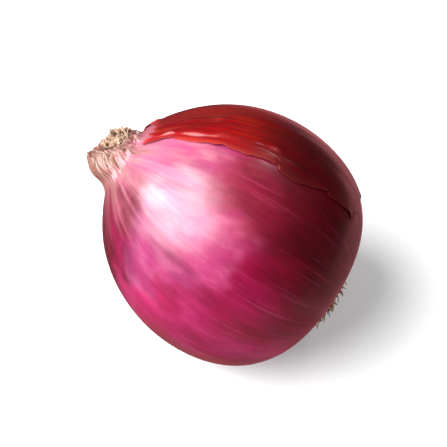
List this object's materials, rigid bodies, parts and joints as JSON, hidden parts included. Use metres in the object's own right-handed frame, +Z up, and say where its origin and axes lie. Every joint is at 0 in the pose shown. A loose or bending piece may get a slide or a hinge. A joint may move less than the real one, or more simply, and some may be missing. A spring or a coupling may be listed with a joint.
{
  "type": "pink shallot",
  "caption": "Small round pink shallot bulb lying on its side, with a short pale slanted neck, a torn dry outer skin and a cropped root tuft.",
  "frame": {"origin": "middle of the flat spot on the bulb's pressed side, where it rests on the surface", "axes": "+Z up from the surface; the neck points to -X, 28 degrees above the surface; the root end faces +X and down; the torn outer skin is on the top and the +Y side"},
  "size_m": [0.0361, 0.0338, 0.0324],
  "materials": {
    "bulb": "gloss",
    "outer_skin": "satin",
    "neck_tip": "matte",
    "root_tuft": "matte"
  },
  "bodies": {
    "root": {"bulb": "bulb", "outer_skin": "outer_skin", "neck_tip": "neck_tip", "root_tuft": "root_tuft"}
  },
  "joints": []
}
